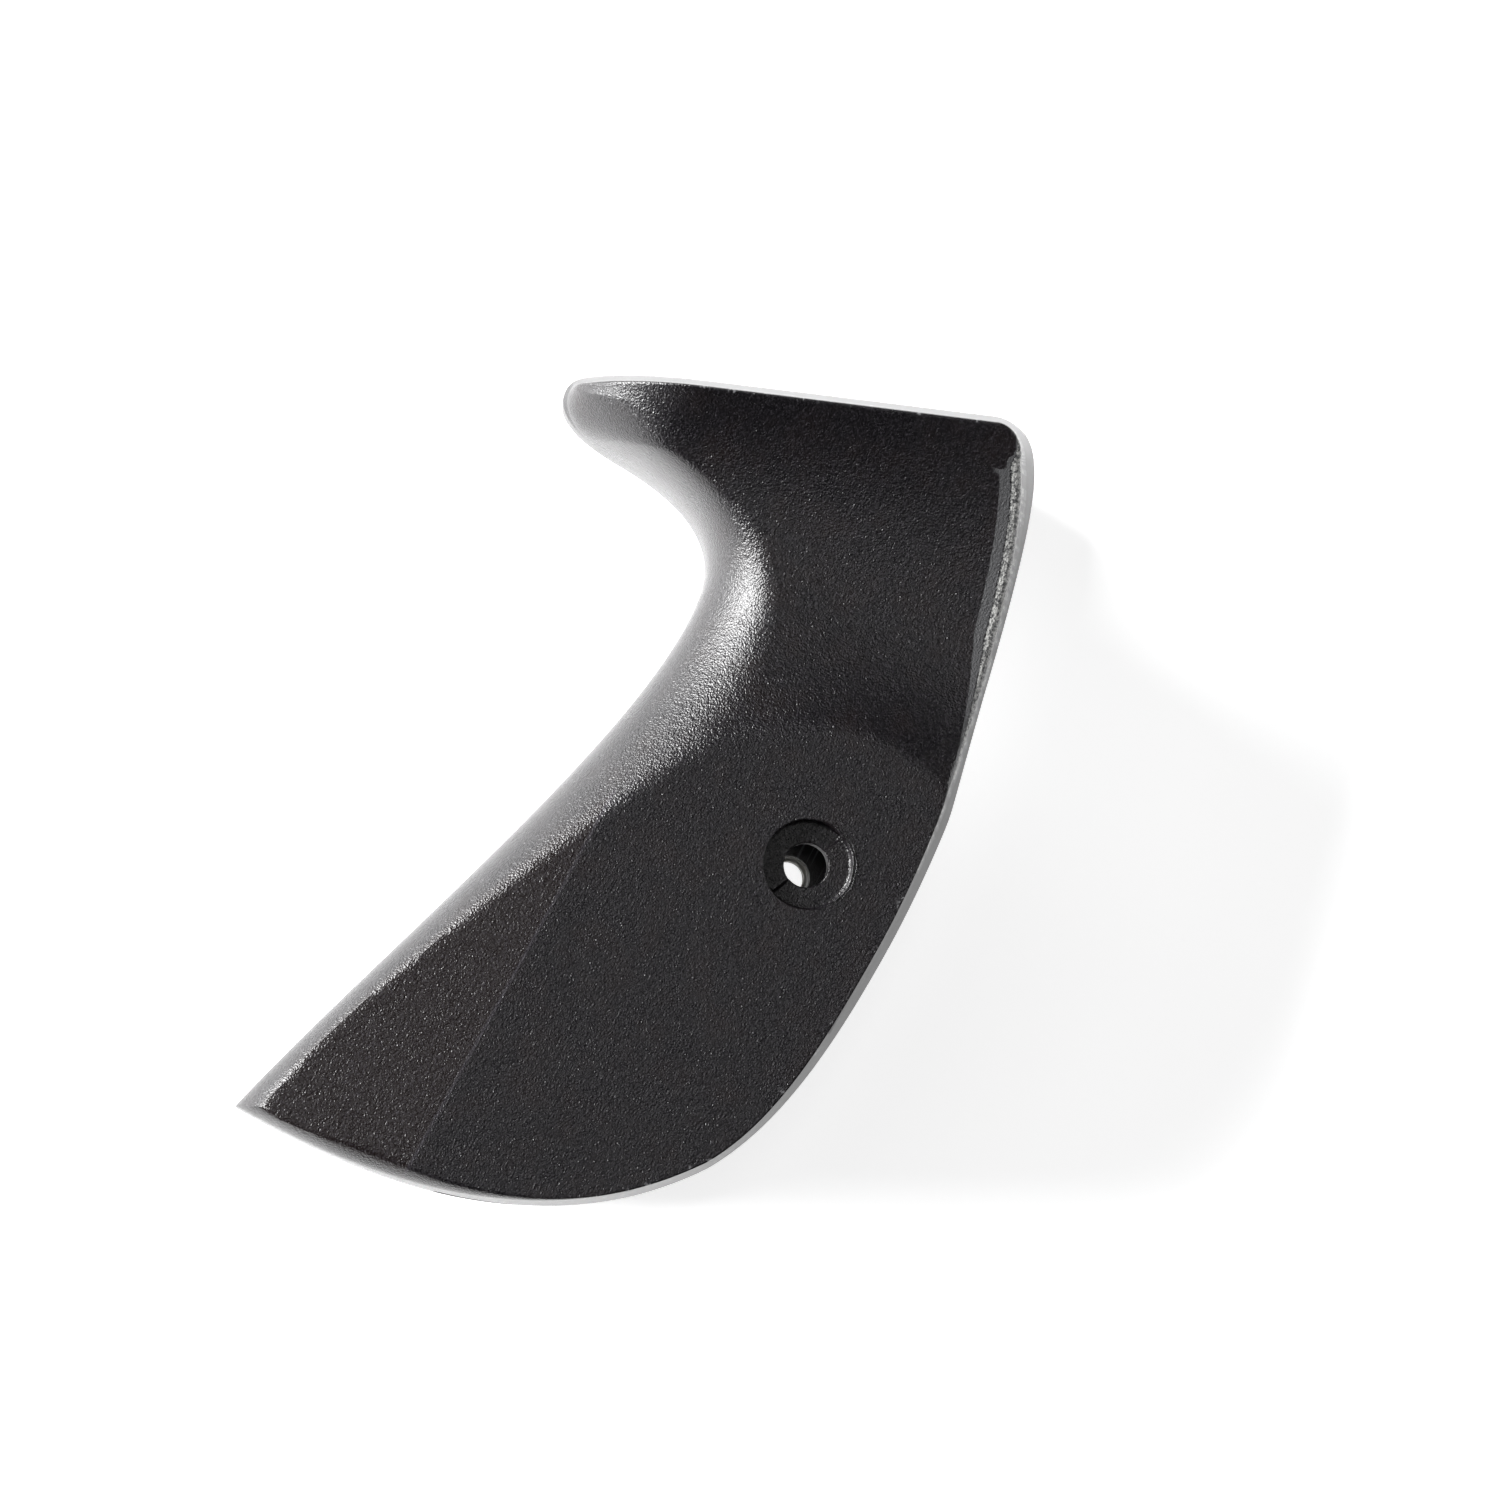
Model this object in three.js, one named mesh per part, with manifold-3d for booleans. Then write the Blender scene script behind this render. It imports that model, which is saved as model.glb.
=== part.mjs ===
// Moulded hand rest for the shaft of an ice axe, with its captive nut.
// It straddles the shaft with two cheeks, and one cross screw holds it. Above the cheeks it narrows to a
// neck and flares out again to a pommel, whose hook carries the side of the hand.
// Millimetres. X runs along the shaft towards the pommel, Y towards the hook, Z from cheek to cheek.
// The origin is on the wall that seats on the front of the shaft, in line with the screw, half way across.

import * as THREE from 'three';
import { ParametricGeometry } from 'three/addons/geometries/ParametricGeometry.js';
import { mergeVertices } from 'three/addons/utils/BufferGeometryUtils.js';
import Module from 'manifold-3d';

const wasm = await Module();
wasm.setup();

// ---- driving dimensions ----

const shaftWidth = 20;
const shaftClearance = 0.3; // on each side of the shaft
const channelCorner = 1.5;
const cheekWall = 4.7;
const neckWall = 2.5;
const rimWall = 8.7;

const tailReach = 48.4; // from the screw back to the tail tip
const tailDrop = 21.6; // tail tip ahead of the seat
const pommelReach = 49.1; // from the screw to the back of the pommel's end face
const hookReach = 27.4; // nose of the hook ahead of the seat
const hookUnder = 28.6; // from the screw to the underside of the hook
const neckWeb = 5.2; // front wall at the saddle, in front of the seat
const cheekDepth = 28.6; // cheeks behind the seat, where they are deepest
const endRake = 0.4; // run of the pommel's end face along X for each millimetre along Y
const archTop = 14.65; // from the screw to the top of the flat on each cheek
const archBend = 0.029; // how fast the edge of that flat falls away, per millimetre
const archAxis = -20; // where along Y the flat's edge reaches furthest
const crown = 1.1; // how far the rounded body would stand above the flat that cuts it
const valley = 25; // thinnest line of the neck, from the screw
const ridge = 3.5; // where the flat breaks into its front facet
const facetSlope = 0.04;
const noseRound = 12.5; // rounding of the hook's nose, seen along the shaft

const screwBehindSeat = 17;
const screwHole = 4.5; // clearance hole for an M4 screw
const headRecess = 9; // counterbore for its head
const recessDepth = 2.2;
const recessStep = 0.5; // the back half of the counterbore's floor is this much higher
const recessTurn = -23; // degrees between that step and the shaft
const nutFlats = 7; // M4 nut across its flats
const nutHeight = 3.2;
const nutThread = 3.4;
const nutGap = 0.3;
const nutSunk = 0.4; // below the face of the cheek

const coreWall = 3.4; // walls left around the cored-out web
const ribWall = 1.8;
const coreShoulder = 2.4; // seat left on each side of a core
const tailCores = 4;
const tailCoreLength = 7;
const hookCoreLength = 5;

// ---- worked out from them ----

const channelHalf = shaftWidth / 2 + shaftClearance;
const cheekHalf = channelHalf + cheekWall;
const neckHalf = channelHalf + neckWall;
const rimHalf = channelHalf + rimWall;
const point = (x, y) => new THREE.Vector2(x, y);
const rimY = -12; // where along Y the end face has its full reach
const endFaceX = (y) => pommelReach - endRake * (y - rimY);
const onEndFace = (y) => point(endFaceX(y), y);

// ---- half thickness of the body over any point of its outline ----

function softMin(a, b, blend) {
  const h = Math.max(blend - Math.abs(a - b), 0) / blend;
  return Math.min(a, b) - (h * h * blend) / 4;
}

// The rounded body: it widens on both sides of its valley, and falls towards the nose of the hook.
function bodyTop(x, y) {
  const archX = archTop - archBend * (y - archAxis) ** 2;
  const back = Math.max(valley - x, 0) / Math.max(valley - archX, 1);
  const ahead = Math.max(x - valley, 0) / (endFaceX(y) - valley);
  const cheek = softMin(neckHalf + (cheekHalf - neckHalf) * back ** 2, cheekHalf + crown, 0.8);
  const nose = Math.min(Math.max((y - hookReach + noseRound) / noseRound, 0), 0.97);
  return (cheek + (rimHalf - neckHalf) * ahead ** 2) * Math.sqrt(1 - nose ** 2);
}

// The flat that cuts it on each cheek, behind the valley.
function cheekFlat(x, y) {
  return x < valley ? cheekHalf - Math.max(y - ridge, 0) * facetSlope : 2 * rimHalf;
}

// ---- outline, in stretches that run once round the body ----
// Each edge is a level side, a sloping band that widens it by `band` over `drop`, and a rounding that takes
// `round` of the top and `share` of the thickness. They are measured towards the middle line where `turn` is 1,
// and square to the outline where it is 0.

const edges = {
  tail: { band: 0, drop: 0.5, round: 6, share: 0.33, turn: 1 },
  saddle: { band: 0, drop: 0.5, round: 9.5, share: 0.9, turn: 1 },
  hook: { band: 0, drop: 0.5, round: 9, share: 0.94, turn: 1 },
  nose: { band: 0.45, drop: 1.4, round: 0.6, share: 0.4, turn: 0 },
  rim: { band: 1.25, drop: 5, round: 0.4, share: 0.03, turn: 0 },
  corner: { band: 3, drop: 8, round: 0.7, share: 0.06, turn: 0 },
  back: { band: 1.4, drop: 5.5, round: 0.7, share: 0.06, turn: 0 },
  end: { band: 0.75, drop: 5, round: 0.4, share: 0.03, turn: 0 },
};

const tailTip = point(-tailReach, tailDrop);
const saddle = point(20.2, neckWeb);
const underHook = point(hookUnder, hookReach - 5.5);
const noseTip = point(hookUnder + 3.5, hookReach);
const noseEnd = onEndFace(hookReach - 2.4);
const rimBack = onEndFace(rimY);
const cornerBack = point(pommelReach - 1.7, rimY - 7.1);
const backMiddle = point(-4, -cheekDepth);
const tailBack = point(-tailReach + 17, -cheekDepth + 5.7);

// A curve leaves the first point towards `leave` and comes to the last one from `arrive`. `walk` says which way
// its stations go along the middle line.
function stretch([from, leave, arrive, to], steps, walk, edge) {
  const curve = new THREE.CubicBezierCurve(from, from.clone().add(leave), to.clone().add(arrive), to);
  return { curve, steps, walk, edge };
}

const backSteps = 28; // stations along each half of the back
const sideSteps = 2 * backSteps; // and as many along the front
const hookSteps = 15;
const noseSteps = 6;
const downFace = (length) => point(endRake * length, -length);

const frontSteps = sideSteps - hookSteps - noseSteps;
const frontWall = stretch([tailTip, point(20.4, -5.2), point(-14.6, -2.1), saddle],
  frontSteps, 1, [edges.tail, edges.saddle]);
const stretches = [
  frontWall,
  stretch([saddle, point(5.6, 0.6), point(0.4, -10.2), underHook], hookSteps, 1, [edges.saddle, edges.hook]),
  stretch([underHook, point(-0.1, 3), point(-2.2, 0), noseTip], noseSteps, 1, [edges.hook, edges.nose]),
  stretch([noseTip, point(1.2, 0), downFace(-1.4), noseEnd], 5, 0, [edges.nose, edges.rim]),
  stretch([noseEnd, downFace(11.5), downFace(-11.5), rimBack], 14, 0, [edges.rim, edges.rim]),
  stretch([rimBack, downFace(2.6), point(2, 1.4), cornerBack], 7, 0, [edges.rim, edges.corner]),
  stretch([cornerBack, point(-8.5, -6.2), point(16.5, -0.3), backMiddle], backSteps, -1, [edges.corner, edges.back]),
  stretch([backMiddle, point(-11.5, 0.2), point(6.8, -4.2), tailBack], backSteps, -1, [edges.back, edges.end]),
  stretch([tailBack, point(-12.5, 9), point(-0.4, -20.6), tailTip], 18, 0, [edges.end, edges.tail]),
];

// The middle line that the top of the body is stretched from. Front and back share its points.
const spine = new THREE.QuadraticBezierCurve(
  tailTip.clone().add(point(7.4, -14.6)), point(0, -cheekDepth / 2), onEndFace(3).add(point(-6.2, 0)),
);
const spineAt = (t) => spine.getPoint(1 - (1 - t) ** 1.3);

const smooth = (t) => t * t * (3 - 2 * t);

function stations() {
  const found = [];
  let along = 0;
  for (const { curve, steps, walk, edge: [first, last] } of stretches) {
    for (let i = 0; i < steps; i++) {
      const blend = smooth(i / steps);
      const edge = {};
      for (const key of Object.keys(first)) edge[key] = THREE.MathUtils.lerp(first[key], last[key], blend);
      const out = curve.getPoint(i / steps);
      const middle = spineAt(along / sideSteps);
      const tangent = curve.getTangent(i / steps);
      const square = point(tangent.y, -tangent.x);
      const inward = square.lerp(middle.clone().sub(out).normalize(), edge.turn).normalize();
      found.push({ out, middle, inward, edge });
      along += walk;
    }
  }
  return found;
}

// ---- section of the body at one station: rows from the middle line, over the edge, down to the mid plane ----

const coverRows = 7;
const roundRows = 6;
const bandRow = coverRows + roundRows + 1;
const midRow = bandRow + 1;

function sectionPoint({ out, middle, inward, edge }, row) {
  const inset = (d) => out.clone().addScaledVector(inward, d);
  const turn = (Math.min(Math.max(row - coverRows, 0), roundRows) / roundRows) * (Math.PI / 2);
  const rounded = inset(edge.band + edge.round * (1 - Math.sin(turn)));
  const place = row < coverRows ? middle.clone().lerp(rounded, row / coverRows) : rounded;
  const top = bodyTop(place.x, place.y) * (1 - edge.share + edge.share * Math.cos(turn));
  const height = softMin(top, cheekFlat(place.x, place.y), 0.3);
  if (row < bandRow) return [place, height];
  return [out, row === bandRow ? Math.max(height - edge.drop, height / 3) : 0];
}

function bodySurface() {
  const ring = stations();
  const rows = 2 * midRow;
  const surface = (u, v, target) => {
    const station = ring[Math.round(u * ring.length) % ring.length];
    const row = Math.round(v * rows);
    const [place, height] = sectionPoint(station, Math.min(row, rows - row));
    target.set(place.x, place.y, row > midRow ? -height : height);
  };
  return new ParametricGeometry(surface, ring.length, rows);
}

// ---- joining and cutting ----

function solid(geometry) {
  const bare = geometry.clone();
  bare.deleteAttribute('normal');
  bare.deleteAttribute('uv');
  const merged = mergeVertices(bare, 1e-4);
  const index = Array.from(merged.index.array);
  const faces = [];
  for (let i = 0; i < index.length; i += 3) {
    const [a, b, c] = index.slice(i, i + 3);
    if (a !== b && b !== c && c !== a) faces.push(a, b, c);
  }
  return new wasm.Manifold(new wasm.Mesh({
    numProp: 3,
    vertProperties: new Float32Array(merged.attributes.position.array),
    triVerts: new Uint32Array(faces),
  }));
}

function mesh(shape, name, material) {
  const { vertProperties, triVerts } = shape.getMesh();
  const geometry = new THREE.BufferGeometry();
  geometry.setAttribute('position', new THREE.BufferAttribute(vertProperties, 3));
  geometry.setIndex(new THREE.BufferAttribute(triVerts, 1));
  geometry.computeVertexNormals();
  const made = new THREE.Mesh(geometry, material);
  made.name = name;
  return made;
}

// A rod along Z at (x, y), between two heights. Six sides make a hexagon.
function rod(x, y, radius, low, high, sides = 40) {
  const geometry = new THREE.CylinderGeometry(radius, radius, high - low, sides);
  geometry.rotateX(Math.PI / 2);
  geometry.translate(x, y, (low + high) / 2);
  return solid(geometry);
}

function block(lowX, highX, lowY, highY, halfZ) {
  const geometry = new THREE.BoxGeometry(highX - lowX, highY - lowY, 2 * halfZ);
  geometry.translate((lowX + highX) / 2, (lowY + highY) / 2, 0);
  return solid(geometry);
}

// ---- what the shaft, the screw and the nut need ----

const past = 10; // how far a cutting shape runs past the body

function channel() {
  const section = new THREE.Shape();
  section.moveTo(-cheekDepth - past, -channelHalf);
  section.lineTo(-channelCorner, -channelHalf);
  section.absarc(-channelCorner, channelCorner - channelHalf, channelCorner, -Math.PI / 2, 0, false);
  section.absarc(-channelCorner, channelHalf - channelCorner, channelCorner, 0, Math.PI / 2, false);
  section.lineTo(-cheekDepth - past, channelHalf);
  const length = tailReach + pommelReach + 2 * past;
  const geometry = new THREE.ExtrudeGeometry(section, { depth: length, bevelEnabled: false, curveSegments: 5 });
  const turn = new THREE.Matrix4().makeBasis(
    new THREE.Vector3(0, 1, 0), new THREE.Vector3(0, 0, 1), new THREE.Vector3(1, 0, 0),
  );
  geometry.applyMatrix4(turn);
  geometry.translate(-tailReach - past, 0, 0);
  return solid(geometry);
}

function screwCuts() {
  const y = -screwBehindSeat;
  const floor = cheekHalf - recessDepth;
  const hole = rod(0, y, screwHole / 2, -cheekHalf - past, cheekHalf + past);
  const deepHalf = rod(0, y, headRecess / 2, floor, cheekHalf + past);
  const step = new THREE.BoxGeometry(2 * headRecess, headRecess, recessStep);
  step.translate(0, -headRecess / 2, floor + recessStep / 2);
  step.rotateZ(THREE.MathUtils.degToRad(recessTurn));
  step.translate(0, y, 0);
  return deepHalf.subtract(solid(step)).add(hole);
}

function nutPocket() {
  const radius = (nutFlats / 2 + nutGap) / Math.cos(Math.PI / 6);
  const floor = -cheekHalf + nutSunk + nutHeight + nutGap;
  return rod(0, -screwBehindSeat, radius, -cheekHalf - past, floor, 6);
}

// How far in front of the seat the front wall stands at x, on the mid plane.
const frontLine = frontWall.curve.getPoints(60);
function frontAt(x) {
  const ahead = frontLine.findIndex((p) => p.x >= x);
  const [a, b] = [frontLine[ahead - 1], frontLine[ahead]];
  return THREE.MathUtils.mapLinear(x, a.x, b.x, a.y, b.y);
}

// A core opens towards the shaft, and the edges of the ribs between cores carry on the seat.
function core(lowX, highX, reach) {
  return block(lowX, highX, -past, reach, channelHalf - coreShoulder);
}

function cores() {
  const cuts = [];
  for (let i = 0; i < tailCores; i++) {
    const high = -screwHole - i * (tailCoreLength + ribWall);
    const low = high - tailCoreLength;
    cuts.push(core(low, high, Math.min(frontAt(low), frontAt(high)) - coreWall));
  }
  const low = hookUnder + coreWall;
  const high = low + hookCoreLength;
  cuts.push(core(low, high, rimY + (pommelReach - coreWall - high) / endRake));
  return cuts;
}

// ---- the pieces ----

function handRest() {
  let body = solid(bodySurface());
  for (const cut of [channel(), screwCuts(), nutPocket(), ...cores()]) body = body.subtract(cut);
  const plastic = new THREE.MeshStandardMaterial({ color: 0x1c1b1d, roughness: 0.55, metalness: 0 });
  return mesh(body, 'hand_rest_moulding', plastic);
}

function captiveNut() {
  const y = -screwBehindSeat;
  const outer = -cheekHalf + nutSunk;
  const corner = nutFlats / 2 / Math.cos(Math.PI / 6);
  const chamfer = (corner - nutFlats / 2) * 0.6;
  const turned = new THREE.LatheGeometry([
    point(0, 0), point(nutFlats / 2, 0), point(corner, chamfer),
    point(corner, nutHeight - chamfer), point(nutFlats / 2, nutHeight), point(0, nutHeight),
  ], 36);
  turned.rotateX(Math.PI / 2);
  turned.translate(0, y, outer);
  const hexagon = rod(0, y, corner, outer, outer + nutHeight, 6);
  const thread = rod(0, y, nutThread / 2, outer - past, outer + nutHeight + past, 24);
  const steel = new THREE.MeshStandardMaterial({ color: 0xa9abb0, roughness: 0.35, metalness: 1 });
  return mesh(hexagon.intersect(solid(turned)).subtract(thread), 'captive_nut', steel);
}

const handRestAssembly = new THREE.Group();
handRestAssembly.name = 'hand_rest';
handRestAssembly.add(handRest(), captiveNut());

export default handRestAssembly;
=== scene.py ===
# Moulded hand rest for an ice axe shaft: the looks of its body and its captive nut, in a plain studio.
# Lengths in the dictionaries are millimetres, but the studio's and the bumps' are metres, and a noise's size
# is a number of grains to the metre. A range is two values that a look fades between.
# X runs along the shaft to the pommel, Y to the hook, Z from cheek to cheek.
import math
import bmesh
import bpy
import numpy as np
from mathutils import Matrix, Vector


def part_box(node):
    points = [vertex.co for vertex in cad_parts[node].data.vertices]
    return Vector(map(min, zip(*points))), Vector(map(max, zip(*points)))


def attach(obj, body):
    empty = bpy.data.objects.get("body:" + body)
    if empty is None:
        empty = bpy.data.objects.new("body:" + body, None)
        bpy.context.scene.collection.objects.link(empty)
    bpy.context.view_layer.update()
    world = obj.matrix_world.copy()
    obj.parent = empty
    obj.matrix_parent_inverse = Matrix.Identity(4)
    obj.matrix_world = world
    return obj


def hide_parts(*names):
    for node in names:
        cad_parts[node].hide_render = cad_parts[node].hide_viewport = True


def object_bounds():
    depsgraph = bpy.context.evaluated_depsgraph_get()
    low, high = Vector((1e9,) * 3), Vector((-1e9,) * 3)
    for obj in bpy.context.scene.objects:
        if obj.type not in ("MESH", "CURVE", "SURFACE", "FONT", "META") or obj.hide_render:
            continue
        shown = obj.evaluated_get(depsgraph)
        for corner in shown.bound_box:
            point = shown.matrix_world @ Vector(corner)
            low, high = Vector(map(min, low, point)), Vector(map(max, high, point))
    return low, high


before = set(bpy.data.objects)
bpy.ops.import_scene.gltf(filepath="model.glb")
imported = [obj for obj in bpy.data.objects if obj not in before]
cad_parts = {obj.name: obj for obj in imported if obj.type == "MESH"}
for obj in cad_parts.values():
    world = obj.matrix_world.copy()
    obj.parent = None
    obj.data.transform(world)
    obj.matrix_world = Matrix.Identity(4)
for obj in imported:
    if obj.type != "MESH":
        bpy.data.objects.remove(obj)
cadLow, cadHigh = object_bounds()
mm = 0.001
restLow, restHigh = (np.array(corner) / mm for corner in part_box("hand_rest_moulding"))
nutLow, nutHigh = (np.array(corner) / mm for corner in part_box("captive_nut"))
screwX, screwY = ((nutLow + nutHigh) / 2)[:2]
print("frame loaded:", restLow.round(2), restHigh.round(2))


def smoothStep(t):  # eases from 0 to 1, level at both ends
    return t * t * (3 - 2 * t)


def bezier(points, t):  # cubic curve: the four points weighted by the powers of t and 1 - t
    a, b, c, d = np.array(points, float)
    t = t[:, None]
    return (1 - t) ** 3 * a + 3 * (1 - t) ** 2 * t * b + 3 * (1 - t) * t ** 2 * c + t ** 3 * d


def meshFromGrid(name, grid, closedAround=True, closedAcross=False):
    # grid[i, j] is a point in millimetres, i round the piece and j across it
    rows, columns = grid.shape[:2]
    i = np.arange(rows if closedAround else rows - 1)[:, None]
    j = np.arange(columns if closedAcross else columns - 1)[None, :]
    nextI, nextJ = (i + 1) % rows, (j + 1) % columns
    corners = [i * columns + j, nextI * columns + j, nextI * columns + nextJ, i * columns + nextJ]
    faces = np.stack([np.broadcast_to(c, (i.size, j.size)).ravel() for c in corners], 1)
    mesh = bpy.data.meshes.new(name)
    mesh.from_pydata((grid.reshape(-1, 3) * mm).tolist(), [], faces.tolist())
    return closeMesh(name, mesh)


def closeMesh(name, mesh):
    # merges the seams and turns every face outwards
    made = bmesh.new()
    made.from_mesh(mesh)
    bmesh.ops.remove_doubles(made, verts=made.verts, dist=1e-6)
    bmesh.ops.recalc_face_normals(made, faces=made.faces)
    made.to_mesh(mesh)
    made.free()
    piece = bpy.data.objects.new(name, mesh)
    bpy.context.scene.collection.objects.link(piece)
    return piece


def turnedGrid(profile, sides, x, y):
    # a profile of (radius, height) pairs carried round the Z axis at (x, y)
    turn = np.linspace(0, 2 * np.pi, sides, endpoint=False)[:, None]
    radius, height = np.array(profile, float).T
    return np.stack([x + radius * np.cos(turn), y + radius * np.sin(turn), height + 0 * turn], -1)


def cut(piece, tools):
    for tool in tools:
        modifier = piece.modifiers.new(tool.name, "BOOLEAN")
        modifier.operation = "DIFFERENCE"
        modifier.solver = "EXACT"
        modifier.object = tool
        bpy.context.view_layer.update()
        shape = piece.evaluated_get(bpy.context.evaluated_depsgraph_get())
        cutMesh = bpy.data.meshes.new_from_object(shape)
        piece.modifiers.clear()
        old = piece.data
        piece.data = cutMesh
        bpy.data.meshes.remove(old)
        bpy.data.meshes.remove(tool.data)  # takes the tool's object with it
    return piece


def finishPiece(piece, sharpAngle, slotName, *standsFor):
    piece.data.shade_smooth()
    piece.data.set_sharp_from_angle(angle=math.radians(sharpAngle))
    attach(piece, "root")
    if standsFor:
        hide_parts(*standsFor)
    return piece


body = {
    "channelHalf": 10.3, "channelCorner": 1.5,
    "cheekHalf": 15.0, "neckHalf": 12.8, "rimHalf": 19.0,
    "tailDrop": 21.6, "hookUnder": 28.6, "hookReach": 27.4, "pommelReach": 49.1,
    "neckWeb": 5.2, "cheekDepth": 28.6,
    "endRake": 0.4, "rimY": -12.0,
    "saddleX": 20.2, "underTip": 5.5, "tipAhead": 3.5, "noseDrop": 2.4, "cornerIn": 1.7, "cornerDrop": 7.1,
    "backX": -4, "tailBackIn": 17, "tailBackUp": 5.7,
    "middleStart": (7.4, 14.6), "middleEnd": (6.2, 3), "middlePace": 1.3,  # the cover's middle line
    "archTop": 14.65, "archBend": 0.029, "archAxis": -20.0, "creaseBlend": 0.3,
    "crown": 1.1, "crownBlend": 0.8,  # how far the rounded body would stand above the flat that cuts it
    "valley": 25.0, "ridge": 3.5, "facetSlope": 0.04, "noseRound": 12.5, "noseLimit": 0.97,
    "sideSteps": 56, "hookSteps": 15, "noseSteps": 6,  # stations along the front, its hook and its nose
    "finer": 4,  # rows of points for each station
    "coverRows": 26, "roundRows": 16, "bandRows": 4, "sideRows": 5,
}
tailX = restLow[0]

edgeKinds = {  # band, drop, round, share, turn
    "tail": (0, 0.5, 6, 0.33, 1), "saddle": (0, 0.5, 9.5, 0.9, 1), "hook": (0, 0.5, 9, 0.94, 1),
    "nose": (0.45, 1.4, 0.6, 0.4, 0), "rim": (1.25, 5, 0.4, 0.03, 0), "corner": (3, 8, 0.7, 0.06, 0),
    "back": (1.4, 5.5, 0.7, 0.06, 0), "end": (0.75, 5, 0.4, 0.03, 0),
}


def endFaceX(y):  # the pommel's end leans back in a straight line from the rim to the hook
    return body["pommelReach"] - body["endRake"] * (y - body["rimY"])


def outlineStretches():
    # each stretch: its curve, its steps, which way it walks along the middle line, its edge at both ends
    side, hook, nose = body["sideSteps"], body["hookSteps"], body["noseSteps"]
    reach, rimY = body["hookReach"], body["rimY"]
    downFace = np.array([body["endRake"], -1])
    tail, saddle = (tailX, body["tailDrop"]), (body["saddleX"], body["neckWeb"])
    under, tip = (body["hookUnder"], reach - body["underTip"]), (body["hookUnder"] + body["tipAhead"], reach)
    noseEnd = (endFaceX(reach - body["noseDrop"]), reach - body["noseDrop"])
    rimBack = (endFaceX(rimY), rimY)
    corner = (body["pommelReach"] - body["cornerIn"], rimY - body["cornerDrop"])
    back = (body["backX"], -body["cheekDepth"])
    tailBack = (tailX + body["tailBackIn"], body["tailBackUp"] - body["cheekDepth"])
    return [
        (tail, (20.4, -5.2), (-14.6, -2.1), saddle, side - hook - nose, 1, "tail", "saddle"),
        (saddle, (5.6, 0.6), (0.4, -10.2), under, hook, 1, "saddle", "hook"),
        (under, (-0.1, 3), (-2.2, 0), tip, nose, 1, "hook", "nose"),
        (tip, (1.2, 0), -1.4 * downFace, noseEnd, 5, 0, "nose", "rim"),
        (noseEnd, 11.5 * downFace, -11.5 * downFace, rimBack, 14, 0, "rim", "rim"),
        (rimBack, 2.6 * downFace, (2, 1.4), corner, 7, 0, "rim", "corner"),
        (corner, (-8.5, -6.2), (16.5, -0.3), back, side // 2, -1, "corner", "back"),
        (back, (-11.5, 0.2), (6.8, -4.2), tailBack, side // 2, -1, "back", "end"),
        (tailBack, (-12.5, 9), (-0.4, -20.6), tail, 18, 0, "end", "tail"),
    ]


def outline():
    # at each station: the point of the outline, the direction inwards, the edge values, and the point of the
    # middle line that the cover is stretched from
    found = []
    along = 0
    for start, leave, arrive, end, steps, walk, first, last in outlineStretches():
        count = steps * body["finer"]
        t = np.arange(count) / count
        curve = (start, np.add(start, leave), np.add(end, arrive), end)
        points, ahead = bezier(curve, t), bezier(curve, t + 1e-4)
        blend = smoothStep(t)[:, None]
        edges = np.array(edgeKinds[first]) * (1 - blend) + np.array(edgeKinds[last]) * blend
        found.append((points, ahead - points, edges, (along + walk * steps * t) / body["sideSteps"]))
        along += walk * steps
    points, tangent, edges, share = (np.concatenate(part) for part in zip(*found))
    t = (1 - (1 - np.clip(share, 0, 1)) ** body["middlePace"])[:, None]
    (startIn, startBelow), (endIn, endY) = body["middleStart"], body["middleEnd"]
    start = np.array([tailX + startIn, body["tailDrop"] - startBelow])
    bend = np.array([0, -body["cheekDepth"] / 2])
    end = np.array([endFaceX(endY) - endIn, endY])
    middle = (1 - t) ** 2 * start + 2 * (1 - t) * t * bend + t ** 2 * end
    square = np.stack([tangent[:, 1], -tangent[:, 0]], 1)
    square /= np.linalg.norm(square, axis=1, keepdims=True)
    towards = middle - points
    towards /= np.linalg.norm(towards, axis=1, keepdims=True)
    inward = square + (towards - square) * edges[:, 4:]
    return points, inward / np.linalg.norm(inward, axis=1, keepdims=True), edges, middle


def softLeast(a, b, blend):  # the smaller of two heights, with the corner between them rounded over the blend
    near = np.maximum(blend - np.abs(a - b), 0) / blend
    return np.minimum(a, b) - near ** 2 * blend / 4


def bodyTop(x, y):
    # height of the rounded body: it widens as a parabola on each side of its valley, levels off above the
    # cheeks, and falls as a quarter of an ellipse towards the nose of the hook
    archX = body["archTop"] - body["archBend"] * (y - body["archAxis"]) ** 2
    back = np.maximum(body["valley"] - x, 0) / np.maximum(body["valley"] - archX, 1)
    ahead = np.maximum(x - body["valley"], 0) / (endFaceX(y) - body["valley"])
    cheekTop = body["neckHalf"] + (body["cheekHalf"] - body["neckHalf"]) * back ** 2
    cheekTop = softLeast(cheekTop, body["cheekHalf"] + body["crown"], body["crownBlend"])
    thick = cheekTop + (body["rimHalf"] - body["neckHalf"]) * ahead ** 2
    nose = np.clip((y - body["hookReach"] + body["noseRound"]) / body["noseRound"], 0, body["noseLimit"])
    return thick * np.sqrt(1 - nose ** 2)


def cheekFlat(x, y):
    # height of the flat that is cut across the cheek, which breaks into a facet towards the front
    flat = body["cheekHalf"] - np.maximum(y - body["ridge"], 0) * body["facetSlope"]
    return np.where(x < body["valley"], flat, 2 * body["rimHalf"])


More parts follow.
